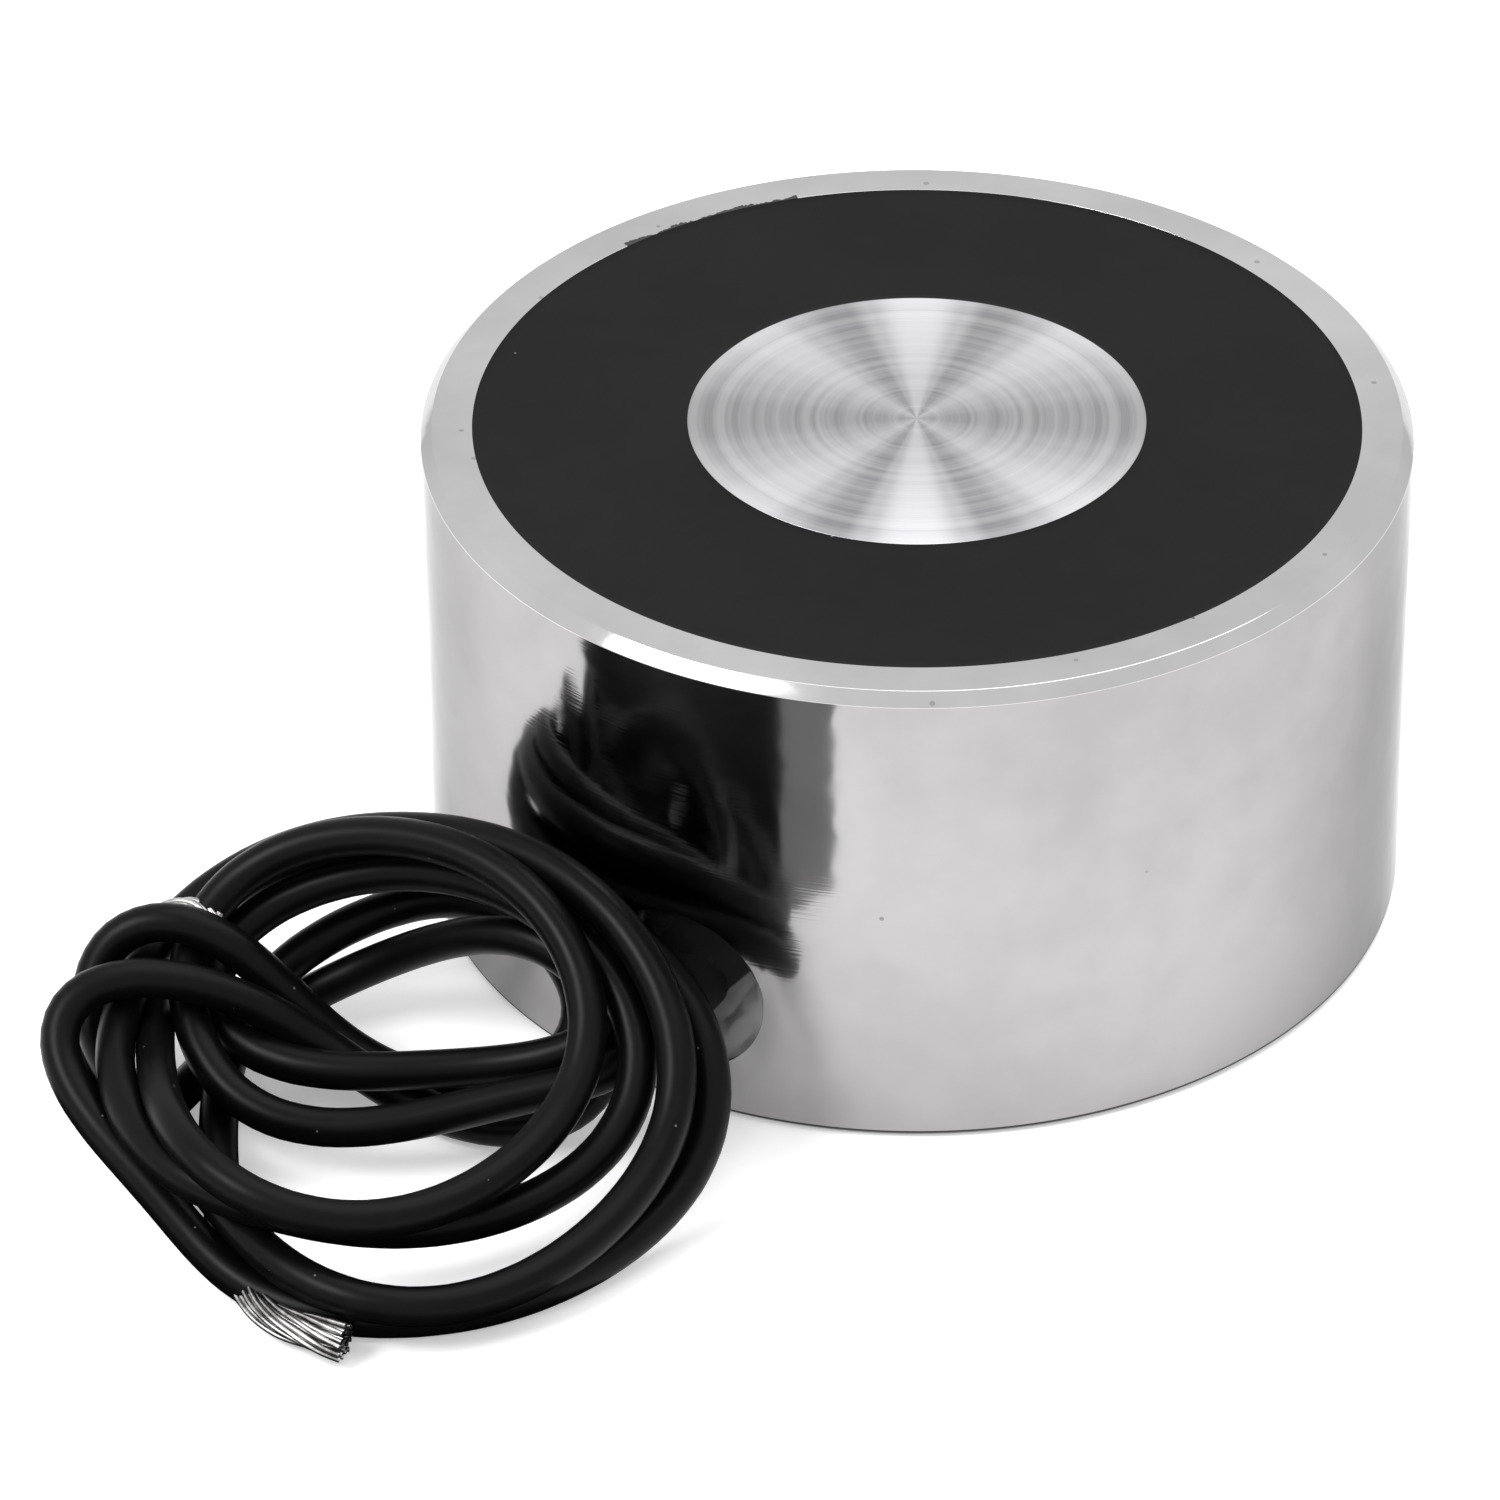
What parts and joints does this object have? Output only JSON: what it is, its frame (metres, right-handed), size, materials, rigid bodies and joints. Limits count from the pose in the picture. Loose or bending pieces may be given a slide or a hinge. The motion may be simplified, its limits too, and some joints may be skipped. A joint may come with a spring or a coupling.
{
  "type": "holding electromagnet",
  "caption": "Round potted holding electromagnet with a plated steel pot, a flush pole face, a tapped hole in its back, and insulated leads lying in a loose coil.",
  "frame": {"origin": "centre of the back face, in the plane that the magnet stands on", "axes": "+Z out through the holding face, the lead outlet faces -Y"},
  "size_m": [0.0788, 0.1178, 0.0402],
  "materials": {
    "nickel_plated_steel": "turned and nickel plated, satin bright",
    "black_epoxy": "cast black resin, ground flush",
    "fibre_paper": "matt fibre paper",
    "natural_nylon": "moulded natural nylon",
    "enamelled_copper": "enamelled copper wire",
    "polyester_tape": "clear yellow film",
    "black_sleeving": "matt heat-shrink sleeving",
    "black_pvc": "satin black wire jacket",
    "tinned_copper": "solder dipped copper"
  },
  "bodies": {
    "root": {"pot_shell": "nickel_plated_steel", "pole_core": "nickel_plated_steel", "base_insulator": "fibre_paper", "bobbin": "natural_nylon", "winding": "enamelled_copper", "winding_tape": "polyester_tape", "resin_ring": "black_epoxy", "outlet_plug": "black_epoxy", "outlet_sleeve": "black_sleeving", "splice_sleeve_a": "black_sleeving", "splice_sleeve_b": "black_sleeving", "magnet_wire_a": "enamelled_copper", "magnet_wire_b": "enamelled_copper", "lead_a": "black_pvc", "lead_b": "black_pvc", "lead_coil": "black_pvc", "tinned_end_a": "tinned_copper", "tinned_end_b": "tinned_copper"}
  },
  "joints": []
}
